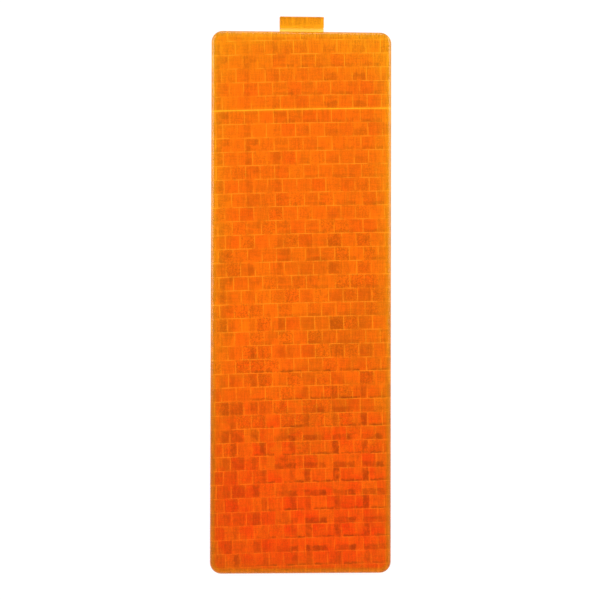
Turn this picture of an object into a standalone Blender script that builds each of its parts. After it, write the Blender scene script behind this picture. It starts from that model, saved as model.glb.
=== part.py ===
"""Stick-on amber reflex reflector: a laminated stack of sheets, lying on its back.

The origin is the centre of the lens outline on the underside of the release liner.
+Z comes out of the reflecting face and +Y points at the snap-off tab. Metres.
"""

import math

import bmesh
import bpy
from mathutils import Matrix

# Outline of the lens, shared by every layer
LENS_WIDTH = 0.0381
LENS_LENGTH = 0.1143
LENS_CORNER_RADIUS = 0.0024

# Snap-off tab at the +Y end, held by a thin neck
TAB_WIDTH = 0.0094
TAB_LENGTH = 0.0024
NECK_LENGTH = 0.0007
NECK_THICKNESS = 0.0004

# Face sheet
FACE_THICKNESS = 0.0012
FACE_EDGE_ROUND = 0.0007
TAB_EDGE_ROUND = 0.0003

# Prism sheet: a land that carries a running bond of prism cells on its back
PRISM_LAND = 0.0004
PRISM_DEPTH = 0.0005
CELL_PITCH_X = 0.00307
CELL_PITCH_Y = 0.00293
CELL_SHIFT_X = 0.0012
CELL_SHIFT_Y = 0.00118
ROW_DRIFT = 0.000033
SEAM_WIDTH = 0.00025
SEAM_TILT_DEG = 0.8
LEAST_CELL = 0.0005
TAB_MARGIN = 0.0004

# Edge seal that keeps the air gap behind the prisms
SEAL_WIDTH = 0.0008
SEAL_TO_CELLS = 0.0002
PRISM_TO_BACKING = 0.0001

# Backing film and the double-sided foam tape with its release liner
BACKING_THICKNESS = 0.0003
BACKING_INSET = 0.0002
ADHESIVE_THICKNESS = 0.00012
FOAM_THICKNESS = 0.0008
TAPE_INSET = 0.0006
LINER_THICKNESS = 0.00014
LINER_INSET = 0.0003

# Thickness of each bond line, left open between neighbouring layers
BOND_LINE = 0.00004

# Facets
CORNER_STEPS = 8
ROUND_STEPS = 3
OVERLAP = 0.0002

# Height of the underside of each layer above the liner's underside
LINER_Z = 0.0
REAR_ADHESIVE_Z = LINER_Z + LINER_THICKNESS + BOND_LINE
FOAM_Z = REAR_ADHESIVE_Z + ADHESIVE_THICKNESS + BOND_LINE
FRONT_ADHESIVE_Z = FOAM_Z + FOAM_THICKNESS + BOND_LINE
BACKING_Z = FRONT_ADHESIVE_Z + ADHESIVE_THICKNESS + BOND_LINE
SEAL_Z = BACKING_Z + BACKING_THICKNESS + BOND_LINE
SEAL_HEIGHT = PRISM_DEPTH + PRISM_TO_BACKING - BOND_LINE
LAND_Z = SEAL_Z + SEAL_HEIGHT + BOND_LINE
FACE_Z = LAND_Z + PRISM_LAND + BOND_LINE

# Distance from the lens outline to the field of prism cells
CELL_INSET = SEAL_WIDTH + SEAL_TO_CELLS
TAB_START_Y = LENS_LENGTH / 2 + NECK_LENGTH
TAB_END_Y = TAB_START_Y + TAB_LENGTH


def clear_scene():
    for item in list(bpy.data.objects):
        bpy.data.objects.remove(item, do_unlink=True)


def material(name, colour, roughness, metallic=0.0):
    finish = bpy.data.materials.new(name)
    finish.use_nodes = True
    shader = finish.node_tree.nodes["Principled BSDF"]
    shader.inputs["Base Color"].default_value = (*colour, 1.0)
    shader.inputs["Roughness"].default_value = roughness
    shader.inputs["Metallic"].default_value = metallic
    return finish


def add_object(name, mesh_builder, finish=None):
    """Makes an object from a bmesh and frees the bmesh."""
    bmesh.ops.recalc_face_normals(mesh_builder, faces=mesh_builder.faces)
    mesh = bpy.data.meshes.new(name)
    mesh_builder.to_mesh(mesh)
    mesh_builder.free()
    item = bpy.data.objects.new(name, mesh)
    bpy.context.scene.collection.objects.link(item)
    if finish is not None:
        mesh.materials.append(finish)
    return item


def lens_outline(inset):
    """The lens outline moved in by inset: a rectangle with an arc at each corner."""
    half_x = LENS_WIDTH / 2 - inset
    half_y = LENS_LENGTH / 2 - inset
    radius = max(LENS_CORNER_RADIUS - inset, LENS_CORNER_RADIUS / 4)
    points = []
    for quarter, (side_x, side_y) in enumerate(((1, 1), (-1, 1), (-1, -1), (1, -1))):
        for step in range(CORNER_STEPS + 1):
            turn = math.radians(90 * (quarter + step / CORNER_STEPS))
            x = side_x * (half_x - radius) + radius * math.cos(turn)
            y = side_y * (half_y - radius) + radius * math.sin(turn)
            points.append((x, y))
    return points


def block_outline(width, start_y, end_y):
    half = width / 2
    return [(half, start_y), (half, end_y), (-half, end_y), (-half, start_y)]


def extrude_outline(outline, bottom_z, height):
    """A closed prism: the outline as a face at bottom_z, extruded up by height."""
    shape = bmesh.new()
    corners = [shape.verts.new((x, y, bottom_z)) for x, y in outline]
    base = shape.faces.new(corners)
    grown = bmesh.ops.extrude_face_region(shape, geom=[base], use_keep_orig=True)
    lifted = [item for item in grown["geom"] if isinstance(item, bmesh.types.BMVert)]
    bmesh.ops.translate(shape, verts=lifted, vec=(0, 0, height))
    return shape


def round_top_edge(shape, top_z, radius):
    """Rounds every edge of the face at top_z."""
    tolerance = radius / 10
    edges = [e for e in shape.edges if all(abs(v.co.z - top_z) < tolerance for v in e.verts)]
    bmesh.ops.bevel(
        shape,
        geom=edges,
        offset=radius,
        offset_type="OFFSET",
        segments=ROUND_STEPS,
        profile=0.5,
        affect="EDGES",
        clamp_overlap=True,
    )


def apply_boolean(target, tool, operation):
    """Joins, trims or cuts target by tool, keeps the result as its mesh and deletes the tool."""
    step = target.modifiers.new(operation.title(), "BOOLEAN")
    step.operation = operation
    step.solver = "EXACT"
    step.object = tool
    graph = bpy.context.evaluated_depsgraph_get()
    result = bpy.data.meshes.new_from_object(target.evaluated_get(graph))
    target.modifiers.remove(step)
    target.data = result
    bpy.data.objects.remove(tool, do_unlink=True)


def plate(name, inset, bottom_z, thickness, finish):
    """A flat layer of the stack, cut to the lens outline less an inset."""
    return add_object(name, extrude_outline(lens_outline(inset), bottom_z, thickness), finish)


def build_face_sheet(finish):
    """The clear amber front: rounded front edge, and the tab on its thin neck."""
    body = extrude_outline(lens_outline(0.0), FACE_Z, FACE_THICKNESS)
    round_top_edge(body, FACE_Z + FACE_THICKNESS, FACE_EDGE_ROUND)
    face = add_object("face_sheet", body, finish)

    neck_outline = block_outline(TAB_WIDTH, LENS_LENGTH / 2 - OVERLAP, TAB_START_Y + OVERLAP)
    neck = add_object("neck_tool", extrude_outline(neck_outline, FACE_Z, NECK_THICKNESS))
    apply_boolean(face, neck, "UNION")

    tab = extrude_outline(block_outline(TAB_WIDTH, TAB_START_Y, TAB_END_Y), FACE_Z, FACE_THICKNESS)
    round_top_edge(tab, FACE_Z + FACE_THICKNESS, TAB_EDGE_ROUND)
    apply_boolean(face, add_object("tab_tool", tab), "UNION")
    return face


def add_prism_cell(shape, centre_x, centre_y, turned):
    """One roof prism, its ridge hanging PRISM_DEPTH below the land.

    The ridge runs along X, or along Y where the cell is turned a quarter.
    """
    half_x = (CELL_PITCH_X - SEAM_WIDTH) / 2
    half_y = (CELL_PITCH_Y - SEAM_WIDTH) / 2
    root_z = LAND_Z + PRISM_LAND / 2
    ridge_z = LAND_Z - PRISM_DEPTH
    corners = ((-1, -1), (1, -1), (1, 1), (-1, 1))
    root = []
    eave = []
    for side_x, side_y in corners:
        x = centre_x + side_x * half_x
        y = centre_y + side_y * half_y
        root.append(shape.verts.new((x, y, root_z)))
        eave.append(shape.verts.new((x, y, LAND_Z - BOND_LINE)))
    ridge_ends = ((0, -half_y), (0, half_y)) if turned else ((-half_x, 0), (half_x, 0))
    start, end = (shape.verts.new((centre_x + x, centre_y + y, ridge_z)) for x, y in ridge_ends)
    shape.faces.new(root)
    for index in range(4):
        after = (index + 1) % 4
        shape.faces.new((root[index], root[after], eave[after], eave[index]))
    if turned:
        shape.faces.new((eave[0], eave[1], start))
        shape.faces.new((eave[1], eave[2], end, start))
        shape.faces.new((eave[2], eave[3], end))
        shape.faces.new((eave[3], eave[0], start, end))
    else:
        shape.faces.new((eave[0], eave[1], end, start))
        shape.faces.new((eave[1], eave[2], end))
        shape.faces.new((eave[2], eave[3], start, end))
        shape.faces.new((eave[3], eave[0], start))


def cell_reach(centre_x, centre_y, limit_x, low_y, high_y):
    """The smaller of a cell's two plan sizes after it is trimmed to a zone."""
    half_x = CELL_PITCH_X / 2
    half_y = CELL_PITCH_Y / 2
    width = min(centre_x + half_x, limit_x) - max(centre_x - half_x, -limit_x)
    height = min(centre_y + half_y, high_y) - max(centre_y - half_y, low_y)
    return min(width, height)


def prism_field(name, limit_x, low_y, high_y):
    """Whole cells that cover one zone, in running bond, tilted by the seam angle.

    Each row also slides ROW_DRIFT to the left of the row below it.
    """
    shape = bmesh.new()
    tilt = math.radians(SEAM_TILT_DEG)
    rows = math.ceil((LENS_LENGTH / 2 + NECK_LENGTH + TAB_LENGTH) / CELL_PITCH_Y) + 1
    columns = math.ceil(LENS_WIDTH / 2 / CELL_PITCH_X) + 2
    for row in range(-rows, rows + 1):
        turned = row % 2 == 1
        shift = CELL_PITCH_X / 2 if turned else 0.0
        for column in range(-columns, columns + 1):
            x = column * CELL_PITCH_X + shift + CELL_SHIFT_X - row * ROW_DRIFT
            y = row * CELL_PITCH_Y + CELL_SHIFT_Y
            placed_x = x * math.cos(tilt) - y * math.sin(tilt)
            placed_y = x * math.sin(tilt) + y * math.cos(tilt)
            if cell_reach(placed_x, placed_y, limit_x, low_y, high_y) > LEAST_CELL:
                add_prism_cell(shape, x, y, turned)
    bmesh.ops.rotate(shape, verts=shape.verts, cent=(0, 0, 0), matrix=Matrix.Rotation(tilt, 3, "Z"))
    return add_object(name, shape)


def trimmed_field(name, zone_outline, limit_x, low_y, high_y):
    """The cells of one zone, trimmed to that zone's outline."""
    field = prism_field(name, limit_x, low_y, high_y)
    zone_bottom = LAND_Z - PRISM_DEPTH - OVERLAP
    zone = extrude_outline(zone_outline, zone_bottom, LAND_Z + PRISM_LAND - zone_bottom)
    apply_boolean(field, add_object("zone_tool", zone), "INTERSECT")
    return field


def build_prism_sheet(finish):
    """The cut sheet of prism cells, with the tab and neck cut from the same sheet."""
    land = extrude_outline(lens_outline(0.0), LAND_Z, PRISM_LAND)
    sheet = add_object("prism_sheet", land, finish)
    stem_outline = block_outline(TAB_WIDTH, LENS_LENGTH / 2 - OVERLAP, TAB_END_Y)
    stem = add_object("stem_tool", extrude_outline(stem_outline, LAND_Z, PRISM_LAND))
    apply_boolean(sheet, stem, "UNION")

    limit_x = LENS_WIDTH / 2 - CELL_INSET
    limit_y = LENS_LENGTH / 2 - CELL_INSET
    lens_cells = trimmed_field("lens_cells", lens_outline(CELL_INSET), limit_x, -limit_y, limit_y)
    apply_boolean(sheet, lens_cells, "UNION")

    tab_low = TAB_START_Y + TAB_MARGIN
    tab_high = TAB_END_Y - TAB_MARGIN
    tab_zone = block_outline(TAB_WIDTH - 2 * TAB_MARGIN, tab_low, tab_high)
    tab_cells = trimmed_field("tab_cells", tab_zone, TAB_WIDTH / 2 - TAB_MARGIN, tab_low, tab_high)
    apply_boolean(sheet, tab_cells, "UNION")
    return sheet


def build_edge_seal(finish):
    """The bead round the outline between the prism sheet and the backing film."""
    seal = plate("edge_seal", 0.0, SEAL_Z, SEAL_HEIGHT, finish)
    hollow = extrude_outline(lens_outline(SEAL_WIDTH), SEAL_Z - OVERLAP, SEAL_HEIGHT + 2 * OVERLAP)
    apply_boolean(seal, add_object("hollow_tool", hollow), "DIFFERENCE")
    return seal


def main():
    clear_scene()
    amber = material("amber_face", (1.0, 0.24, 0.0), 0.12)
    amber_prism = material("amber_prism", (1.0, 0.20, 0.0), 0.2)
    seal_amber = material("seal_amber", (0.85, 0.30, 0.02), 0.35)
    white_film = material("white_film", (0.86, 0.85, 0.82), 0.4)
    clear_glue = material("clear_glue", (0.82, 0.80, 0.74), 0.3)
    grey_foam = material("grey_foam", (0.30, 0.30, 0.31), 0.9)
    liner_paper = material("liner_paper", (0.80, 0.76, 0.66), 0.55)

    plate("release_liner", LINER_INSET, LINER_Z, LINER_THICKNESS, liner_paper)
    plate("tape_rear_adhesive", TAPE_INSET, REAR_ADHESIVE_Z, ADHESIVE_THICKNESS, clear_glue)
    plate("tape_foam_core", TAPE_INSET, FOAM_Z, FOAM_THICKNESS, grey_foam)
    plate("tape_front_adhesive", TAPE_INSET, FRONT_ADHESIVE_Z, ADHESIVE_THICKNESS, clear_glue)
    plate("backing_film", BACKING_INSET, BACKING_Z, BACKING_THICKNESS, white_film)
    build_edge_seal(seal_amber)
    build_prism_sheet(amber_prism)
    build_face_sheet(amber)


main()
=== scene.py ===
"""Looks of the stick-on amber reflector: a clear amber face over a bed of prism cells, on foam tape.

The part lies on its back: +Z comes out of the face and +Y points at the snap-off tab. Metres.
"""

import math
from collections import namedtuple

import bmesh
import bpy
import numpy as np
from mathutils import Matrix, Vector


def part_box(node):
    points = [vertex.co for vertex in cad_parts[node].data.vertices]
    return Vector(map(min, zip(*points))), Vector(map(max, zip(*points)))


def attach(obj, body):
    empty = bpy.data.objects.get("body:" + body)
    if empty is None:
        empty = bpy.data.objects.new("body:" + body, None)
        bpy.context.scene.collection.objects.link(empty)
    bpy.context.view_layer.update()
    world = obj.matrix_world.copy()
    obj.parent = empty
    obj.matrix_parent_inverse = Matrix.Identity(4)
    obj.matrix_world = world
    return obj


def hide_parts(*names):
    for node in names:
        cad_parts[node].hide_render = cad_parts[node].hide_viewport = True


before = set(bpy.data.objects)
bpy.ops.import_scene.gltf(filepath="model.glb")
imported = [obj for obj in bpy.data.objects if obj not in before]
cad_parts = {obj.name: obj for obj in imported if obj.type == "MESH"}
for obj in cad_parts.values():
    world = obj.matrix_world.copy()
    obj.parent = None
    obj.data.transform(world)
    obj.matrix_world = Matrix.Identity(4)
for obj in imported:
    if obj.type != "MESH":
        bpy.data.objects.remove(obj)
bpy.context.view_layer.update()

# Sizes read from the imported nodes
FACE_LOW, FACE_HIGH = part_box("face_sheet")
_, BED_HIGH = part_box("prism_sheet")
_, SEAL_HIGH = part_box("edge_seal")
HALF_X = FACE_HIGH.x
HALF_Y = -FACE_LOW.y
TAB_END = FACE_HIGH.y
LAND_BOTTOM = SEAL_HIGH.z + (FACE_LOW.z - BED_HIGH.z)

# Outline, tab and edge sizes of the face
CORNER_RADIUS = 0.0024
EDGE_ROUND = 0.0007
TAB_HALF = 0.0047
TAB_LENGTH = 0.0024
TAB_CORNER = 0.00025
TAB_ROUND = 0.0002
NECK_THICK = 0.0004
NECK_DIP = 0.00012
SHELL_GAP = 0.00003
TAB_START = TAB_END - TAB_LENGTH

# Running bond of prism cells; the bows are in 1/m
PITCH_X = 0.00307
PITCH_Y = 0.00292
SHIFT_X = 0.001235
SHIFT_Y = 0.001205
TILT = math.radians(1.5)
BOW_ACROSS = 0.325
BOW_ALONG = 0.062
SEAM = 0.00022
SEAM_GLOW = 0.0007
RIDGES = 5
RIDGE_DEPTH = 0.00004
CROSS_SEAM_ROW = 13.5

# Widths of the tones along the outline, which are painted light and shade
BORDER = 0.0021
BORDER_GLOW = 0.0048
RIM = 0.0013
FOOT_LINE = 0.0006
FOOT_REACH = 0.001

# Underside of the clear face, below the grooves of the bed, so that no air lies between them
FACE_BASE = BED_HIGH.z - RIDGE_DEPTH - SHELL_GAP

# Fineness of the meshes
FACE_CORNER_STEPS = 12
FACE_ROUND_STEPS = 8
TAB_ROUND_STEPS = 5
BED_CORNER_STEPS = 8
TAB_CORNER_STEPS = 3
NECK_LINES = 9
MERGE_DISTANCE = 1e-6
CUT_SNAP = 1e-8
LEAST_SIDE = SHELL_GAP / 10
FACE_SHARP_DEG = 30.0
BED_SHARP_DEG = 5.0

# Photograph's viewpoint
CAMERA_PLACE = (-0.01332, -0.00460, 0.30190)
CAMERA_TURN_DEG = (0.942, -2.511, 0.121)
CAMERA_LENS = 85.0
CAMERA_NEAR = 0.01

# Floor, and room light level with the part and overhead
FLOOR_HALF = 3.0
FLOOR_DROP = 0.00005
PAPER_CLOUD = 30.0
PAPER_ROUGHNESS = 0.9
FLOOR_GLOW = 1.1
FLOOR_GLOW_SHARE = 0.85
ROOM_LEVEL = 0.40
ROOM_OVERHEAD = 0.08
OVERHEAD_ZONE = (0.75, 1.0)

# Colours, linear
WHITE = (1.0, 1.0, 1.0, 1.0)
PAPER_WHITE = (0.94, 0.94, 0.94, 1.0)
PAPER_BRIGHT = (0.97, 0.97, 0.97, 1.0)
FACE_TINT = (1.0, 0.44, 0.03, 1.0)
FACE_TINT_DEEP = (1.0, 0.40, 0.02, 1.0)
NECK_TINT = (1.0, 0.72, 0.52, 1.0)
NECK_TINT_DEEP = (1.0, 0.68, 0.44, 1.0)
FACE_LAMP_TINT = (1.0, 0.84, 0.42, 1.0)
# Painted light at the crown and top of the bed, middle amber, and painted shade at its foot
BED_CROWN_PAINTED_LIGHT = (0.83, 0.475, 0.008, 1.0)
BED_TOP_PAINTED_LIGHT = (0.82, 0.310, 0.006, 1.0)
BED_MIDDLE = (0.85, 0.298, 0.004, 1.0)
BED_FOOT_PAINTED_SHADE = (0.84, 0.128, 0.003, 1.0)
BED_RED = (0.80, 0.072, 0.002, 1.0)
# Brown of the dots, and of the painted shade patches
BED_BROWN = (0.36, 0.100, 0.002, 1.0)
# Redder brown of the painted shade patches in the lower half
PATCH_SHADE_RED_BROWN = (0.42, 0.070, 0.002, 1.0)
BED_OLIVE = (0.68, 0.255, 0.003, 1.0)
BED_YELLOW = (0.86, 0.42, 0.008, 1.0)
BED_GOLD = (0.84, 0.38, 0.012, 1.0)
SEAM_PALE = (0.96, 0.80, 0.17, 1.0)
SEAM_ROSY = (0.96, 0.46, 0.10, 1.0)
CROSS_PALE = (0.90, 0.80, 0.15, 1.0)
# Border in painted light above and painted shade below
BORDER_PAINTED_LIGHT = (0.76, 0.66, 0.09, 1.0)
BORDER_PAINTED_SHADE = (0.50, 0.225, 0.010, 1.0)
# Painted light of the rim in the lower half
RIM_PAINTED_LIGHT = (0.60, 0.38, 0.05, 1.0)
WALL_AMBER = (0.80, 0.27, 0.01, 1.0)
# Painted shade along the foot and low on the left
FOOT_PAINTED_SHADE = (0.36, 0.115, 0.006, 1.0)
# Tab and neck painted paler for the light that the white floor sends through them
TAB_PAINTED_LIGHT = (0.80, 0.52, 0.05, 1.0)
NECK_PAINTED_LIGHT = (0.94, 0.90, 0.34, 1.0)

# Clear amber: noises as scale per metre, detail and roughness, then its polish
FACE_WAVE = (220.0, 1.0)
FACE_CLOUD = (60.0, 2.0)
CLOUD_SHARE = 0.3
FACE_INDEX = 1.49
FACE_ROUGHNESS = 0.03
FACE_ROUGHNESS_CLOUD = 0.04
WAVE_STRENGTH = 0.05
WAVE_HEIGHT = 0.0002

# Zones up the bed, from 0 at the foot to 1 at the head: where a smooth change starts and where it ends
LOW_ZONE = (0.50, 0.02)
MIDDLE_START = (0.10, 0.35)
MIDDLE_END = (0.85, 0.55)
TOP_ZONE = (0.60, 0.95)
CROWN_ZONE = (0.88, 0.985)
BORDER_ZONE = (0.75, 0.10)

# Shares of the bed's broad tones, which are painted light and shade
CROWN_CENTRE = 0.42
CROWN_SIDES = 0.8
LEFT_ZONE = (-0.006, -0.016)
LEFT_SHADE = 0.22
BORDER_GLOW_SHARE = 0.3
BORDER_SHARE = 0.9
TAB_SHARE = 0.8
RIM_FLAT = 0.4
RIM_ZONE = (0.0, 0.4)
RIM_SHARE = 0.55

# Random draws for each cell
TONE_DRAW = 1.0
FLAME_DRAW = 2.0
GOLD_DRAW = 3.0
DOT_DRAW = 4.0
PATCH_DRAW = 5.0
BRIGHT_DRAW = 8.0
HUE_DRAW = 9.0

# Tints of the cells: noises as above, edges of their steps, and shares
TONE_LEAST = 0.93
TONE_SPREAD = 0.14
HUE_CLOUD = (260.0, 2.0, 0.6)
HUE_CLOUD_SHARE = 0.8
HUE_RED_EDGE = (0.55, 1.05)
HUE_RED_SHARE = 0.20
HUE_YELLOW_EDGE = (0.45, -0.05)
HUE_YELLOW_SHARE = 0.26
HUE_YELLOW_LOSS = 0.12
OLIVE_CLOUD = (120.0, 3.0, 0.6)
OLIVE_TONE = 0.16
OLIVE_EDGE = (0.46, 0.64)
OLIVE_SHARE = 0.25
OLIVE_MIDDLE = 0.5
FLAME_CLOUD = (330.0, 2.0, 0.6)
FLAME_CELL = 0.25
FLAME_EDGE = (0.55, 0.85)
FLAME_SHARE = 0.12
FLAME_LOW = 0.65
# Painted highlights of some cells in the lower half
BRIGHT_EDGE = (0.45, 1.0)
BRIGHT_SHARE = 0.4
GOLD_LUCK = 0.97
GOLD_SHARE = 0.6
DOTTED_EDGE = (0.25, 0.9)
DOTTED_SHARE = 0.35
DOTTED_MIDDLE = 0.65
DOT_GRAIN = (3600.0, 1.0)
DOT_EDGE = (0.48, 0.60)
DOT_SHARE = 0.4
# Painted glints in the dotted cells
SPARK_GRAIN = (3900.0, 1.0)
SPARK_EDGE = (0.60, 0.70)
SPARK_SHARE = 0.8

# Brown patches of painted shade: spans along a pair of cells, in a cell's height, across the sheet in metres
# and up it
Patch = namedtuple("Patch", "odd_rows along height across_sheet up_sheet share")
PATCHES = (
    Patch(False, (0.50, 0.95), (-0.46, 0.48), (-0.030, 0.000), (-0.5, 1.5), 0.28),
    Patch(False, (1.05, 1.45), (-0.46, 0.44), (-0.030, 0.000), (-0.5, 0.52), 0.26),
    Patch(False, (0.45, 0.95), (-0.46, 0.40), (-0.030, -0.001), (-0.5, 0.38), 0.46),
    Patch(False, (1.05, 1.95), (-0.46, 0.46), (-0.030, -0.009), (-0.5, 0.33), 0.44),
    Patch(False, (0.03, 0.95), (-0.45, 0.45), (0.001, 0.030), (0.32, 0.65), 0.34),
    Patch(False, (0.03, 0.95), (-0.45, 0.05), (0.001, 0.030), (0.62, 1.5), 0.28),
    Patch(False, (0.00, 1.50), (-0.48, -0.06), (-0.006, 0.030), (-0.5, 0.31), 0.76),
    Patch(True, (0.50, 1.42), (-0.05, 0.42), (-0.030, 0.002), (0.45, 1.5), 0.28),
    Patch(True, (0.50, 0.90), (-0.52, -0.05), (-0.030, -0.008), (0.45, 1.5), 0.34),
    Patch(True, (1.05, 1.45), (-0.52, 0.52), (-0.030, 0.000), (-0.5, 0.28), 0.56),
    Patch(True, (0.04, 0.45), (-0.52, 0.52), (0.000, 0.030), (-0.5, 0.34), 0.70),
    Patch(True, (0.52, 2.10), (-0.52, -0.24), (-0.008, 0.030), (0.38, 1.5), 0.32),
    Patch(True, (0.60, 2.10), (-0.48, -0.34), (-0.010, 0.030), (-0.5, 0.42), 0.90),
)
PATCH_SOFT = 0.08
SHEET_SOFT_X = 0.004
SHEET_SOFT_Y = 0.06
PATCH_STRENGTH = 1.45
PATCH_WAVER = 0.30
PATCH_WAVE_ALONG = (1300.0, 2.0)
PATCH_WAVE_UP = (1100.0, 2.0)
PATCH_LEAST = 0.40
PATCH_SPREAD = 0.60
# Cloud that makes the painted shade of the patches uneven
PATCH_SHADE_CLOUD = (700.0, 4.0, 0.7)
PATCH_SHADE_CLOUD_EDGE = (0.22, 0.62)

# Seams: a cloud that fades them in places, then the shares of lines and of their painted glow
SEAM_FADE_CLOUD = (320.0, 3.0)
SEAM_FADE_EDGE = (0.38, 0.58)
SEAM_FADE_LEAST = 0.12
SEAM_EDGE = (SEAM * 0.55, SEAM * 0.2)
SIDE_SEAM_SHARE = 0.45
END_SEAM_SHARE = 0.55
SIDE_GLOW_SHARE = 0.04
END_GLOW_SHARE = 0.05
SEAM_LOW_LOSS = 0.25
CROSS_EDGE = (SEAM * 0.85, SEAM * 0.35)
CROSS_GLOW_SHARE = 0.18

# Fine grain of the bed
SPECKLE_GRAIN = (4200.0, 2.0, 0.7)
SPECKLE_SHARE = 0.45
STREAK_GRAIN = (2600.0, 2.0, 0.6)
STREAK_STRETCH = 0.12
STREAK_SHARE = 0.45
LEVEL_STREAK_SHARE = 0.7
BED_ROUGHNESS = 0.35
BED_ROUGHNESS_GRAIN = 0.2

# Layers under the bed: two tones, their cloud's scale, roughness, and the grain's scale and height
Layer = namedtuple("Layer", "nodes tone second cloud roughness grain height")
LAYERS = {
    "seal_amber": Layer(
        ["edge_seal"], (0.85, 0.30, 0.02), (0.70, 0.20, 0.01), 400, 0.35, 3000, 2e-5),
    "white_film": Layer(
        ["backing_film"], (0.86, 0.85, 0.82), (0.80, 0.79, 0.76), 90, 0.42, 5000, 1e-5),
    "grey_foam": Layer(
        ["tape_foam_core"], (0.30, 0.30, 0.31), (0.20, 0.20, 0.21), 1500, 0.85, 2600, 8e-5),
    "liner_paper": Layer(
        ["release_liner"], (0.80, 0.76, 0.66), (0.74, 0.69, 0.58), 120, 0.5, 4000, 1e-5),
    "clear_glue": Layer(
        ["tape_front_adhesive", "tape_rear_adhesive"],
        (0.82, 0.80, 0.74), (0.74, 0.71, 0.63), 300, 0.25, 1200, 2e-5),
}
LAYER_CLOUD_DETAIL = (4.0, 0.6)
LAYER_GRAIN_DETAIL = (3.0, 0.7)
LAYER_CLOUD_EDGE = (0.3, 0.7)
LAYER_GRAIN_STRENGTH = 0.6
LAYER_ROUGHNESS_GRAIN = 0.15

# A point of the bed: its place on the sheet, and its place in a cell
Sheet = namedtuple("Sheet", "spot x y z rise low middle")
Cell = namedtuple("Cell", "column row odd pair across up turned_y")


class Value:
    """A number that changes over a surface. Each operator on it adds a Math node."""

    def __init__(self, bench, socket):
        self.bench = bench
        self.socket = socket

    def maths(self, operation, *terms):
        return self.bench.node("ShaderNodeMath", {"operation": operation}, terms)

    def __add__(self, other):
        return self.maths("ADD", self, other)

    def __sub__(self, other):
        return self.maths("SUBTRACT", self, other)

    def __rsub__(self, other):
        return self.maths("SUBTRACT", other, self)

    def __mul__(self, other):
        return self.maths("MULTIPLY", self, other)

    def __truediv__(self, other):
        return self.maths("DIVIDE", self, other)

    def __rtruediv__(self, other):
        return self.maths("DIVIDE", other, self)

    def __abs__(self):
        return self.maths("ABSOLUTE", self)

    def __gt__(self, other):
        return self.maths("GREATER_THAN", self, other)

    def __lt__(self, other):
        return self.maths("LESS_THAN", self, other)

    __radd__ = __add__
    __rmul__ = __mul__

    def floor(self):
        return self.maths("FLOOR", self)

    def remainder(self, other):
        return self.maths("FLOORED_MODULO", self, other)

    def least(self, other):
        return self.maths("MINIMUM", self, other)

    def most(self, other):
        return self.maths("MAXIMUM", self, other)

    def root(self):
        return self.maths("SQRT", self)

    def step(self, start, end):
        """0 before start and 1 after end, with a smooth rise between; start may be the larger."""
        settings = {"interpolation_type": "SMOOTHSTEP", "clamp": True}
        return self.bench.node("ShaderNodeMapRange", settings, {0: self, 1: start, 2: end, 3: 0.0, 4: 1.0})


class Bench:
    """Builds the nodes of one material, or of the world."""

    def __init__(self, owner, output="ShaderNodeOutputMaterial"):
        self.owner = owner
        owner.use_nodes = True
        self.tree = owner.node_tree
        self.tree.nodes.clear()
        self.output = self.tree.nodes.new(output)

    def node(self, kind, settings=None, sockets=None, out=0):
        """Adds a node: its settings first, then the values or links of its sockets by name or number."""
        made = self.tree.nodes.new(kind)
        for name, value in (settings or {}).items():
            setattr(made, name, value)
        pairs = sockets.items() if isinstance(sockets, dict) else enumerate(sockets or ())
        for key, value in pairs:
            if isinstance(value, Value):
                self.tree.links.new(value.socket, made.inputs[key])
            else:
                made.inputs[key].default_value = value
        return Value(self, made.outputs[out])

    def place(self):
        """The place of a point in the part's own frame, whole and as X, Y and Z."""
        spot = self.node("ShaderNodeTexCoord", out="Object")
        split = self.node("ShaderNodeSeparateXYZ", sockets=[spot])
        axes = split.socket.node.outputs
        return spot, [Value(self, axes[index]) for index in range(3)]

    def noise(self, spot, scale, detail=2.0, roughness=0.5):
        return self.node("ShaderNodeTexNoise", sockets={
            "Vector": spot, "Scale": scale, "Detail": detail, "Roughness": roughness})

    def stretch(self, spot, scale):
        """The place with each axis scaled, so that a pattern on it is drawn out along the least one."""
        return self.node("ShaderNodeMapping", sockets={"Vector": spot, "Scale": scale})

    def dice(self, cell, draw):
        """A fixed random number from 0 to 1 for each cell and draw."""
        number = self.node("ShaderNodeCombineXYZ", sockets=[cell.column, cell.row, draw])
        return self.node("ShaderNodeTexWhiteNoise", {"noise_dimensions": "3D"}, {"Vector": number})

    def mix(self, share, first, second, blend="MIX"):
        settings = {"data_type": "RGBA", "blend_type": blend, "clamp_factor": True}
        return self.node("ShaderNodeMix", settings, {0: share, 6: first, 7: second}, out=2)

    def scale_colour(self, colour, factor):
        grey = self.node("ShaderNodeCombineColor", sockets=[factor, factor, factor])
        return self.mix(1.0, colour, grey, "MULTIPLY")

    def bump(self, height, strength, distance):
        return self.node("ShaderNodeBump", sockets={
            "Strength": strength, "Distance": distance, "Height": height})

    def principled(self, **sockets):
        return self.node("ShaderNodeBsdfPrincipled", sockets={
            name.replace("_", " "): value for name, value in sockets.items()})

    def finish(self, shader):
        self.tree.links.new(shader.socket, self.output.inputs["Surface"])
        return self.owner


def new_bench(name):
    return Bench(bpy.data.materials.new(name))


def rounded_ring(half_x, half_y, radius, steps):
    """Points of a rounded rectangle: each corner's arc is its centre plus radius times (cos, sin)."""
    turn = (np.arange(4)[:, None] + np.linspace(0, 1, steps + 1)[None]) * math.pi / 2
    side_x = np.array([1, -1, -1, 1])[:, None]
    side_y = np.array([1, 1, -1, -1])[:, None]
    x = side_x * (half_x - radius) + radius * np.cos(turn)
    y = side_y * (half_y - radius) + radius * np.sin(turn)
    return np.stack([x.ravel(), y.ravel()], axis=1)


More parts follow.
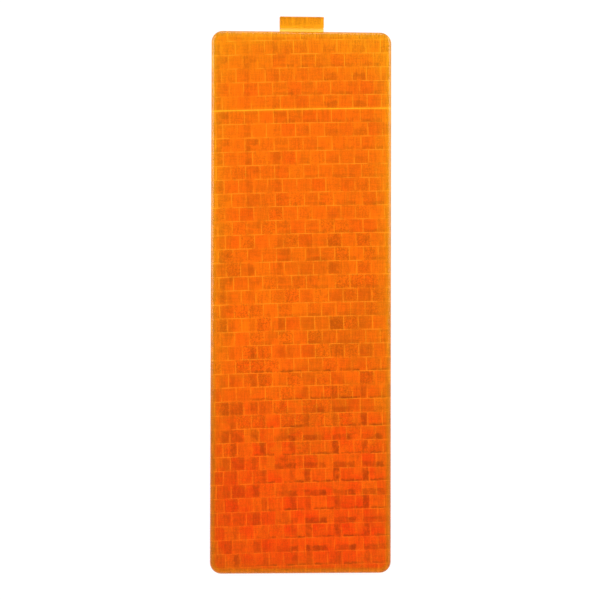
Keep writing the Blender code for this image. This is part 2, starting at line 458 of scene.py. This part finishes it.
def edge_profile(bottom, top, radius, steps):
    """(inset, height) up the side wall and over a quarter round of the given radius."""
    turn = np.linspace(0, math.pi / 2, steps + 1)
    inset = np.concatenate([[0.0], radius * (1 - np.cos(turn))])
    height = np.concatenate([[bottom], top - radius + radius * np.sin(turn)])
    return inset, height


def make_piece(name, points, faces, finish, slot, nodes=()):
    """A mesh object at the origin, with its faces turned outwards."""
    mesh = bpy.data.meshes.new(name)
    mesh.from_pydata(points.tolist(), [], faces)
    mesh.validate()
    shape = bmesh.new()
    shape.from_mesh(mesh)
    bmesh.ops.recalc_face_normals(shape, faces=shape.faces)
    shape.to_mesh(mesh)
    shape.free()
    return dress(name, mesh, finish, nodes, FACE_SHARP_DEG)


def dress(name, mesh, finish, nodes, sharp_deg):
    """Shades a mesh, gives it its finish and lets it ride on the part's one body."""
    mesh.shade_smooth()
    mesh.set_sharp_from_angle(angle=math.radians(sharp_deg))
    mesh.materials.append(finish)
    piece = bpy.data.objects.new(name, mesh)
    bpy.context.scene.collection.objects.link(piece)
    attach(piece, "root")
    if nodes:
        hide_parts(*nodes)
    return piece


def swept_block(half_x, half_y, centre_y, corner, profile):
    """Rings of the outline, one for each profile step, with the first and the last closed by flat faces.

    Ring i is the outline moved in by inset i at height i. A corner radius above the inset shrinks by it.
    """
    inset, height = profile
    plan = np.stack([
        rounded_ring(half_x - moved, half_y - moved, corner - moved * (corner > moved), FACE_CORNER_STEPS)
        for moved in inset])
    count, around = plan.shape[:2]
    level = np.broadcast_to(height[:, None, None], (count, around, 1))
    points = np.concatenate([plan + np.array([0.0, centre_y]), level], axis=2).reshape(-1, 3)
    ring, spot = np.meshgrid(np.arange(count - 1), np.arange(around), indexing="ij")
    after = (spot + 1) % around
    quads = np.stack([ring * around + spot, ring * around + after,
                      (ring + 1) * around + after, (ring + 1) * around + spot], axis=-1)
    faces = quads.reshape(-1, 4).tolist()
    faces.append(np.arange(around)[::-1].tolist())
    faces.append((np.arange(around) + (count - 1) * around).tolist())
    return points, faces


def cell_template():
    """One cell as points and faces about its centre.

    A flat frame half a seam wide stands round a field of upright V grooves. Groove line j lies at
    j / RIDGES across the field at the top, and the line midway to the next lies RIDGE_DEPTH lower.
    The frame's two level sides have a point in their middle, where the next rows' corners meet them.
    """
    half_x, half_y = (PITCH_X - SEAM) / 2, (PITCH_Y - SEAM) / 2
    lines = 2 * RIDGES + 1
    spread = np.linspace(-half_x, half_x, lines)
    depth = -RIDGE_DEPTH * (np.arange(lines) % 2)
    foot = np.stack([spread, np.full(lines, -half_y), depth], axis=1)
    head = np.stack([spread, np.full(lines, half_y), depth], axis=1)
    side_x = np.array([-1, 0, 1, 1, 0, -1]) * PITCH_X / 2
    side_y = np.array([-1, -1, -1, 1, 1, 1]) * PITCH_Y / 2
    points = np.concatenate([foot, head, np.stack([side_x, side_y, np.zeros(6)], axis=1)])
    end = 2 * lines
    grooves = [[j, j + 1, lines + j + 1, lines + j] for j in range(lines - 1)]
    gables = [[j, j + 2, j + 1] for j in range(0, lines - 2, 2)]
    gables += [[lines + j, lines + j + 1, lines + j + 2] for j in range(0, lines - 2, 2)]
    peaks = list(range(0, lines, 2))
    foot_side = [end, end + 1, end + 2] + peaks[::-1]
    head_side = [end + 3, end + 4, end + 5] + [lines + j for j in peaks]
    left_side = [end + 5, end, 0, lines]
    right_side = [end + 2, end + 3, 2 * lines - 1, lines - 1]
    return points, grooves + gables + [foot_side, head_side, left_side, right_side]


def cell_field(low_x, high_x, low_y, high_y):
    """Whole cells that cover a rectangle, with odd rows moved by half a cell, then tilted and bowed.

    The bow adds BOW_ALONG y^2 - BOW_ACROSS x^2 to y, so that the rows arch a little.
    """
    reach = max(abs(low_x), abs(high_x)) * math.sin(TILT) + PITCH_Y
    sway = max(abs(low_y), abs(high_y)) * math.sin(TILT) + 2 * PITCH_X
    first_row = math.floor((low_y - reach - SHIFT_Y) / PITCH_Y)
    last_row = math.ceil((high_y + reach - SHIFT_Y) / PITCH_Y)
    first_column = math.floor((low_x - sway) / PITCH_X)
    last_column = math.ceil((high_x + sway) / PITCH_X)
    rows, columns = np.arange(first_row, last_row + 1), np.arange(first_column, last_column + 1)
    row, column = (grid.ravel() for grid in np.meshgrid(rows, columns, indexing="ij"))
    centre_x = (column + 0.5 * (row % 2)) * PITCH_X + SHIFT_X
    centre = np.stack([centre_x, row * PITCH_Y + SHIFT_Y, np.zeros(len(row))], axis=1)
    cell, faces = cell_template()
    points = (cell[None] + centre[:, None]).reshape(-1, 3)
    starts = np.arange(len(centre)) * len(cell)
    turn = np.array([[math.cos(TILT), math.sin(TILT)], [-math.sin(TILT), math.cos(TILT)]])
    points[:, :2] = points[:, :2] @ turn
    points[:, 1] += BOW_ALONG * points[:, 1] ** 2 - BOW_ACROSS * points[:, 0] ** 2
    return points, [corners for face in faces for corners in (starts[:, None] + np.array(face)).tolist()]


def trim_to_ring(shape, ring, top):
    """Cuts a flat field along each side of a convex ring and drops what lies outside."""
    sides = np.roll(ring, -1, axis=0) - ring
    for (x, y), (dx, dy) in zip(ring.tolist(), sides.tolist()):
        if math.hypot(dx, dy) < LEAST_SIDE:
            continue
        bmesh.ops.bisect_plane(
            shape, geom=shape.verts[:] + shape.edges[:] + shape.faces[:], dist=CUT_SNAP,
            plane_co=(x, y, top), plane_no=(dy, -dx, 0), clear_outer=True)


def close_below(shape, floor):
    """Drops a wall from the open rim to the floor height and closes the underside."""
    rim = [edge for edge in shape.edges if edge.is_boundary]
    grown = bmesh.ops.extrude_edge_only(shape, edges=rim)["geom"]
    lowered = [item for item in grown if isinstance(item, bmesh.types.BMVert)]
    flatten = Matrix(((1, 0, 0, 0), (0, 1, 0, 0), (0, 0, 0, floor), (0, 0, 0, 1)))
    bmesh.ops.transform(shape, matrix=flatten, verts=lowered)
    base = [item for item in grown if isinstance(item, bmesh.types.BMEdge)]
    bmesh.ops.contextual_create(shape, geom=base)
    bmesh.ops.recalc_face_normals(shape, faces=shape.faces)


def make_bed(name, half_x, low_y, high_y, ring, finish, nodes=()):
    """The prism cells seen through the face: a field of cells trimmed to a ring, with a flat underside."""
    points, faces = cell_field(-half_x, half_x, low_y, high_y)
    points[:, 2] += BED_HIGH.z
    mesh = bpy.data.meshes.new(name)
    mesh.from_pydata(points.tolist(), [], faces)
    shape = bmesh.new()
    shape.from_mesh(mesh)
    bmesh.ops.remove_doubles(shape, verts=shape.verts, dist=MERGE_DISTANCE)
    trim_to_ring(shape, ring, BED_HIGH.z)
    bmesh.ops.remove_doubles(shape, verts=shape.verts, dist=MERGE_DISTANCE)
    close_below(shape, LAND_BOTTOM)
    shape.to_mesh(mesh)
    shape.free()
    return dress(name, mesh, finish, nodes, BED_SHARP_DEG)


def clear_amber(name, shallow, deep):
    """Clear amber acrylic: glass to the eye, a plain tint to the lamps, with faint waves in its polish."""
    bench = new_bench(name)
    spot, _ = bench.place()
    wave = bench.noise(spot, *FACE_WAVE)
    cloud = bench.noise(spot, *FACE_CLOUD)
    tint = bench.mix(cloud * CLOUD_SHARE, shallow, deep)
    glass = bench.principled(
        Base_Color=tint, Roughness=FACE_ROUGHNESS + FACE_ROUGHNESS_CLOUD * cloud, IOR=FACE_INDEX,
        Transmission_Weight=1.0, Normal=bench.bump(wave, WAVE_STRENGTH, WAVE_HEIGHT))
    lamps = bench.node("ShaderNodeBsdfTransparent", sockets={"Color": FACE_LAMP_TINT})
    ray = bench.node("ShaderNodeLightPath", out="Is Shadow Ray")
    return bench.finish(bench.node("ShaderNodeMixShader", sockets=[ray, glass, lamps]))


def prism_amber():
    """The bed of cells: broad tones, tints of cells, brown patches, border, seams, rim and fine grain, with
    painted light and shade in the broad tones, patches, border, seams' glow, rim and neck.
    """
    bench = new_bench("prism_amber")
    sheet = sheet_place(bench)
    cell = cell_place(sheet)
    depth = edge_depth(sheet)
    colour = painted_light_gradient(bench, sheet)
    colour = cell_tints(bench, colour, sheet, cell)
    colour = painted_shade_patches(bench, colour, sheet, cell)
    colour = painted_border_and_tab(bench, colour, sheet, depth)
    colour = seam_lines(bench, colour, sheet, cell)
    colour = rim_lines(bench, colour, sheet, depth)
    speckle, grain = fine_grain(bench, sheet.spot)
    colour = bench.scale_colour(colour, grain)
    # Painted light: the neck's land paler, for the light that the white floor sends through the thin neck
    colour = bench.mix((sheet.y > HALF_Y) * (sheet.y < TAB_START), colour, NECK_PAINTED_LIGHT)
    roughness = BED_ROUGHNESS + BED_ROUGHNESS_GRAIN * speckle
    return bench.finish(bench.principled(Base_Color=colour, Roughness=roughness))


def sheet_place(bench):
    """Where a point lies on the sheet, its rise from foot to head, and its shares of low and middle."""
    spot, (x, y, z) = bench.place()
    rise = (y + HALF_Y) / (2 * HALF_Y)
    middle = rise.step(*MIDDLE_START) * rise.step(*MIDDLE_END)
    return Sheet(spot, x, y, z, rise, rise.step(*LOW_ZONE), middle)


def cell_place(sheet):
    """Which cell a point lies in, and where: the field's bow and tilt taken out, then counted in pitches."""
    x, y = sheet.x, sheet.y
    turned_x = (x * math.cos(TILT) + y * math.sin(TILT) - SHIFT_X) / PITCH_X
    level_y = y + BOW_ACROSS * x * x - BOW_ALONG * y * y
    turned_y = (level_y * math.cos(TILT) - x * math.sin(TILT) - SHIFT_Y) / PITCH_Y
    row = (turned_y + 0.5).floor()
    odd = row.remainder(2.0)
    slid_x = turned_x - odd * 0.5
    column = (slid_x + 0.5).floor()
    pair = (turned_x + 0.5).remainder(2.0)
    return Cell(column, row, odd, pair, slid_x - column, turned_y - row, turned_y)


def edge_depth(sheet):
    """How far a point lies inside the rounded outline."""
    past_x = abs(sheet.x) - (HALF_X - CORNER_RADIUS)
    past_y = abs(sheet.y) - (HALF_Y - CORNER_RADIUS)
    corner_x, corner_y = past_x.most(0.0), past_y.most(0.0)
    reach = (corner_x * corner_x + corner_y * corner_y).root() + past_x.most(past_y).least(0.0)
    return CORNER_RADIUS - reach


def painted_light_gradient(bench, sheet):
    """Painted light and shade: amber, paler at the head and redder towards the foot, with a painted brown
    shade low on the left.
    """
    colour = bench.mix(sheet.rise.step(*TOP_ZONE), BED_MIDDLE, BED_TOP_PAINTED_LIGHT)
    crown = sheet.rise.step(*CROWN_ZONE) * (CROWN_CENTRE + CROWN_SIDES * abs(sheet.x) / HALF_X)
    colour = bench.mix(crown, colour, BED_CROWN_PAINTED_LIGHT)
    colour = bench.mix(sheet.low, colour, BED_FOOT_PAINTED_SHADE)
    return bench.mix(sheet.low * sheet.x.step(*LEFT_ZONE) * LEFT_SHADE, colour, FOOT_PAINTED_SHADE)


def cell_tints(bench, colour, sheet, cell):
    """A tone and a hue for each cell, olive and red clouds, some gold cells, some dotted cells with painted
    glints, and in the lower half some bright cells of painted light.
    """
    tone = bench.dice(cell, TONE_DRAW)
    colour = bench.scale_colour(colour, TONE_LEAST + TONE_SPREAD * tone)
    hue = bench.dice(cell, HUE_DRAW) + HUE_CLOUD_SHARE * (bench.noise(sheet.spot, *HUE_CLOUD) - 0.5)
    colour = bench.mix(hue.step(*HUE_RED_EDGE) * HUE_RED_SHARE, colour, BED_RED)
    yellow = hue.step(*HUE_YELLOW_EDGE) * (HUE_YELLOW_SHARE - HUE_YELLOW_LOSS * sheet.low)
    colour = bench.mix(yellow, colour, BED_YELLOW)
    cloud = bench.noise(sheet.spot, *OLIVE_CLOUD) + OLIVE_TONE * (tone - 0.5)
    olive = cloud.step(*OLIVE_EDGE) * (OLIVE_SHARE + OLIVE_MIDDLE * sheet.middle)
    colour = bench.mix(olive, colour, BED_OLIVE)
    flame = bench.noise(sheet.spot, *FLAME_CLOUD) + FLAME_CELL * bench.dice(cell, FLAME_DRAW)
    colour = bench.mix(flame.step(*FLAME_EDGE) * (FLAME_SHARE + FLAME_LOW * sheet.low), colour, BED_RED)
    # Painted highlights: some cells in the lower half lifted back towards the middle amber
    bright = bench.dice(cell, BRIGHT_DRAW).step(*BRIGHT_EDGE) * sheet.low
    colour = bench.mix(bright * BRIGHT_SHARE, colour, BED_MIDDLE)
    gold = (bench.dice(cell, GOLD_DRAW) > GOLD_LUCK) * sheet.middle
    colour = bench.mix(gold * GOLD_SHARE, colour, BED_GOLD)
    dotted = bench.dice(cell, DOT_DRAW).step(*DOTTED_EDGE) * (DOTTED_SHARE + DOTTED_MIDDLE * sheet.middle)
    dots = bench.noise(sheet.spot, *DOT_GRAIN).step(*DOT_EDGE)
    colour = bench.mix(dotted * dots * DOT_SHARE, colour, BED_BROWN)
    # Painted glints: gold sparks in the dotted cells
    sparks = bench.noise(sheet.spot, *SPARK_GRAIN).step(*SPARK_EDGE)
    return bench.mix(dotted * sparks * SPARK_SHARE, colour, BED_GOLD)


def window(value, start, end, soft):
    """1 between start and end and 0 outside, with smooth sides."""
    return value.step(start - soft, start + soft) * value.step(end + soft, end - soft)


def patch_shade(patch, sheet, cell, pair, up):
    """One kind of brown patch of painted shade: a window in the pair of cells times a window on the sheet.
    """
    in_cell = window(pair, *patch.along, PATCH_SOFT) * window(up, *patch.height, PATCH_SOFT)
    across = window(sheet.x, *patch.across_sheet, SHEET_SOFT_X)
    along = window(sheet.rise, *patch.up_sheet, SHEET_SOFT_Y)
    rows = cell.odd if patch.odd_rows else 1 - cell.odd
    return rows * (in_cell * across * along) * patch.share


def painted_shade_patches(bench, colour, sheet, cell):
    """Painted shade: brown patches where facets turn from the light, the darkest kind at each point, with
    uneven sides.
    """
    spot = sheet.spot
    pair = cell.pair + PATCH_WAVER * (bench.noise(spot, *PATCH_WAVE_ALONG) - 0.5)
    up = cell.up + PATCH_WAVER * (bench.noise(spot, *PATCH_WAVE_UP) - 0.5)
    first, *others = [patch_shade(patch, sheet, cell, pair, up) for patch in PATCHES]
    darkest = first
    for shade in others:
        darkest = darkest.most(shade)
    shade_cloud = bench.noise(spot, *PATCH_SHADE_CLOUD).step(*PATCH_SHADE_CLOUD_EDGE)
    uneven = (PATCH_LEAST + PATCH_SPREAD * bench.dice(cell, PATCH_DRAW)) * shade_cloud
    brown = bench.mix(sheet.low, BED_BROWN, PATCH_SHADE_RED_BROWN)
    return bench.mix(darkest * uneven * PATCH_STRENGTH, colour, brown)


def painted_border_and_tab(bench, colour, sheet, depth):
    """The plain border, pale with painted light above and brown with painted shade below, in a faint painted
    glow, and the tab, painted paler for the light that comes through it from the floor.
    """
    tone = bench.mix(sheet.rise.step(*BORDER_ZONE), BORDER_PAINTED_LIGHT, BORDER_PAINTED_SHADE)
    glow = depth.step(BORDER_GLOW, 0.0) * BORDER_GLOW_SHARE
    colour = bench.mix(glow.most(depth.step(BORDER, 0.0) * BORDER_SHARE), colour, tone)
    # Painted light: the tab paler, for the light that the white floor sends through it
    return bench.mix((sheet.y > HALF_Y) * TAB_SHARE, colour, TAB_PAINTED_LIGHT)


def seam_lines(bench, colour, sheet, cell):
    """Pale seams, three quarters of SEAM wide, fading in clouds, in a faint painted glow, and one bright
    seam in the upper part with a painted glow.
    """
    seam_fade = SEAM_FADE_LEAST + (1.0 - SEAM_FADE_LEAST) * bench.noise(sheet.spot, *SEAM_FADE_CLOUD).step(*SEAM_FADE_EDGE)
    to_side = (0.5 - abs(cell.across)) * PITCH_X
    to_end = (0.5 - abs(cell.up)) * PITCH_Y
    glow = to_side.step(SEAM_GLOW, 0.0) * SIDE_GLOW_SHARE + to_end.step(SEAM_GLOW, 0.0) * END_GLOW_SHARE
    line = (to_side.step(*SEAM_EDGE) * SIDE_SEAM_SHARE).most(to_end.step(*SEAM_EDGE) * END_SEAM_SHARE)
    pale = bench.mix(sheet.low, SEAM_PALE, SEAM_ROSY)
    colour = bench.mix(glow.most(line * seam_fade) * (1.0 - SEAM_LOW_LOSS * sheet.low), colour, pale)
    cross = abs(cell.turned_y - CROSS_SEAM_ROW) * PITCH_Y
    crossing = (cross.step(SEAM_GLOW, 0.0) * CROSS_GLOW_SHARE).most(cross.step(*CROSS_EDGE))
    return bench.mix(crossing, colour, CROSS_PALE)


def rim_lines(bench, colour, sheet, depth):
    """A paler rim of painted light in the lower half, a brown line of painted shade along the foot, and
    amber down the side wall.
    """
    rim = depth.step(RIM, RIM * RIM_FLAT) * sheet.low.step(*RIM_ZONE)
    colour = bench.mix(rim * RIM_SHARE, colour, RIM_PAINTED_LIGHT)
    foot = depth.step(FOOT_LINE, 0.0) * (sheet.y < FOOT_REACH - HALF_Y)
    colour = bench.mix(foot, colour, FOOT_PAINTED_SHADE)
    wall = sheet.z.step(BED_HIGH.z - RIDGE_DEPTH, BED_HIGH.z - 2 * RIDGE_DEPTH)
    return bench.mix(wall, colour, WALL_AMBER)


def fine_grain(bench, spot):
    """Speckle, and a factor about 1 that also holds fine streaks drawn out along Y and along X."""
    speckle = bench.noise(spot, *SPECKLE_GRAIN)
    upright = bench.noise(bench.stretch(spot, (1.0, STREAK_STRETCH, 1.0)), *STREAK_GRAIN)
    level = bench.noise(bench.stretch(spot, (STREAK_STRETCH, 1.0, 1.0)), *STREAK_GRAIN)
    streak = upright - 0.5 + (level - 0.5) * LEVEL_STREAK_SHARE
    return speckle, 1.0 + SPECKLE_SHARE * (speckle - 0.5) + STREAK_SHARE * streak


def plain_layer(name, layer):
    """A film, glue, foam or paper: two close tones in fine clouds, and a fine grain in the surface."""
    bench = new_bench(name)
    spot, _ = bench.place()
    cloud = bench.noise(spot, layer.cloud, *LAYER_CLOUD_DETAIL)
    grain = bench.noise(spot, layer.grain, *LAYER_GRAIN_DETAIL)
    tone = bench.mix(cloud.step(*LAYER_CLOUD_EDGE), (*layer.tone, 1.0), (*layer.second, 1.0))
    roughness = layer.roughness + LAYER_ROUGHNESS_GRAIN * (grain - 0.5)
    normal = bench.bump(grain, LAYER_GRAIN_STRENGTH, layer.height)
    return bench.finish(bench.principled(Base_Color=tone, Roughness=roughness, Normal=normal))


def build_face():
    """The clear front with its rounded edge, and the tab and its dipped, paler neck beyond it."""
    finish = clear_amber("clear_amber", FACE_TINT, FACE_TINT_DEEP)
    thin_finish = clear_amber("thin_amber", NECK_TINT, NECK_TINT_DEEP)
    body_edge = edge_profile(FACE_BASE, FACE_HIGH.z, EDGE_ROUND, FACE_ROUND_STEPS)
    body = swept_block(HALF_X, HALF_Y, 0.0, CORNER_RADIUS, body_edge)
    make_piece("lens_face", *body, finish, "amber_face", ["face_sheet"])
    tab_edge = edge_profile(FACE_BASE, FACE_HIGH.z, TAB_ROUND, TAB_ROUND_STEPS)
    tab = swept_block(TAB_HALF, TAB_LENGTH / 2, TAB_END - TAB_LENGTH / 2, TAB_CORNER, tab_edge)
    make_piece("snap_tab", *tab, finish, "amber_face")
    make_piece("tab_neck", *neck_web(), thin_finish, "amber_face")


def neck_web():
    """A strip between lens and tab whose top dips in a parabola from both ends to its middle."""
    lines = np.linspace(-1, 1, NECK_LINES)
    across, along = np.meshgrid(lines, lines, indexing="ij")
    x = across * (TAB_HALF - SHELL_GAP)
    middle = (HALF_Y + TAB_START) / 2
    y = middle + along * ((TAB_START - HALF_Y) / 2 - SHELL_GAP)
    dipped = FACE_LOW.z + NECK_THICK - NECK_DIP * (1 - along * along)
    top = np.stack([x, y, dipped], axis=-1).reshape(-1, 3)
    bottom = np.stack([x, y, np.full_like(x, FACE_BASE)], axis=-1).reshape(-1, 3)
    grid = np.arange(NECK_LINES ** 2).reshape(NECK_LINES, NECK_LINES)
    quad = np.stack([grid[:-1, :-1], grid[1:, :-1], grid[1:, 1:], grid[:-1, 1:]], axis=-1).reshape(-1, 4)
    rim = np.concatenate([grid[:-1, 0], grid[-1, :-1], grid[:0:-1, -1], grid[0, :0:-1]])
    after = np.roll(rim, -1)
    wall = np.stack([rim, rim + grid.size, after + grid.size, after], axis=1)
    faces = quad.tolist() + (quad[:, ::-1] + grid.size).tolist() + wall.tolist()
    return np.concatenate([top, bottom]), faces


def build_bed(finish):
    """The bed under the lens, the cells under the tab, and the plain land under the neck."""
    ring = rounded_ring(HALF_X - SHELL_GAP, HALF_Y - SHELL_GAP, CORNER_RADIUS, BED_CORNER_STEPS)
    make_bed("prism_bed", HALF_X, -HALF_Y, HALF_Y, ring, finish, ["prism_sheet"])
    tab_ring = rounded_ring(TAB_HALF - SHELL_GAP, TAB_LENGTH / 2 - SHELL_GAP, TAB_CORNER, TAB_CORNER_STEPS)
    tab_middle = np.array([0.0, TAB_END - TAB_LENGTH / 2])
    make_bed("tab_prisms", TAB_HALF, TAB_START, TAB_END, tab_ring + tab_middle, finish)
    neck_half = (TAB_START - HALF_Y) / 2
    levels = np.zeros(2), np.array([LAND_BOTTOM, BED_HIGH.z])
    land = swept_block(
        TAB_HALF - 2 * SHELL_GAP, neck_half - SHELL_GAP / 2, HALF_Y + neck_half, SHELL_GAP / 2, levels)
    make_piece("neck_land", *land, finish, "amber_prism")


def paint_layers():
    """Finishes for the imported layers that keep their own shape."""
    for name, layer in LAYERS.items():
        finish = plain_layer(name, layer)
        for node_name in layer.nodes:
            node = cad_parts[node_name]
            node.data.materials.clear()
            node.data.materials.append(finish)


def white_floor():
    """White paper: nearly white to the eye, and it keeps part of the soft shadow."""
    bench = new_bench("white_floor")
    spot, _ = bench.place()
    tone = bench.mix(bench.noise(spot, PAPER_CLOUD), PAPER_WHITE, PAPER_BRIGHT)
    paper = bench.principled(Base_Color=tone, Roughness=PAPER_ROUGHNESS, Specular_IOR_Level=0.0)
    glow = bench.node("ShaderNodeEmission", sockets={"Color": WHITE, "Strength": FLOOR_GLOW})
    path = bench.node("ShaderNodeLightPath").socket.node.outputs
    rays = ("Is Camera Ray", "Is Glossy Ray", "Is Transmission Ray")
    to_eye, mirrored, through = (Value(bench, path[name]) for name in rays)
    share = to_eye.most(mirrored).most(through) * FLOOR_GLOW_SHARE
    return bench.finish(bench.node("ShaderNodeMixShader", sockets=[share, paper, glow]))


def build_stage():
    corner = np.array([(-1, -1), (1, -1), (1, 1), (-1, 1)]) * FLOOR_HALF
    points = np.column_stack([corner, np.full(4, -FLOOR_DROP)])
    mesh = bpy.data.meshes.new("floor")
    mesh.from_pydata(points.tolist(), [], [(0, 1, 2, 3)])
    mesh.materials.append(white_floor())
    floor = bpy.data.objects.new("floor", mesh)
    bpy.context.scene.collection.objects.link(floor)


def add_softbox(name, place, side, power):
    """A square soft lamp that faces the part's middle."""
    lamp = bpy.data.lights.new(name, "AREA")
    lamp.size = side
    lamp.energy = power
    stand = bpy.data.objects.new(name, lamp)
    stand.location = place
    stand.rotation_euler = (-Vector(place)).to_track_quat("-Z", "Y").to_euler()
    bpy.context.scene.collection.objects.link(stand)


def build_light():
    """Soft lamps at the head and either side, off the face's mirror direction, in a room darker overhead."""
    add_softbox("left_softbox", place=(-0.75, 0.30, 0.65), side=0.7, power=5.4)
    add_softbox("right_softbox", place=(0.75, 0.35, 0.65), side=0.7, power=4.7)
    add_softbox("head_softbox", place=(0.0, 0.85, 0.6), side=0.6, power=3.3)
    bench = Bench(bpy.data.worlds.new("studio"), "ShaderNodeOutputWorld")
    way = bench.node("ShaderNodeTexCoord", out="Generated")
    height = bench.node("ShaderNodeSeparateXYZ", sockets=[way], out="Z")
    level = ROOM_LEVEL - (ROOM_LEVEL - ROOM_OVERHEAD) * height.step(*OVERHEAD_ZONE)
    level = level.most(bench.node("ShaderNodeLightPath", out="Is Camera Ray"))
    room = bench.node("ShaderNodeBackground", sockets={"Color": WHITE, "Strength": level})
    bpy.context.scene.world = bench.finish(room)


def build_camera():
    lens = bpy.data.cameras.new("camera")
    lens.lens = CAMERA_LENS
    lens.clip_start = CAMERA_NEAR
    view = bpy.data.objects.new("camera", lens)
    view.location = CAMERA_PLACE
    view.rotation_euler = [math.radians(turn) for turn in CAMERA_TURN_DEG]
    bpy.context.scene.collection.objects.link(view)
    bpy.context.scene.camera = view


build_camera()
build_face()
build_bed(prism_amber())
paint_layers()
build_stage()
build_light()
bpy.context.scene.view_settings.view_transform = "Standard"
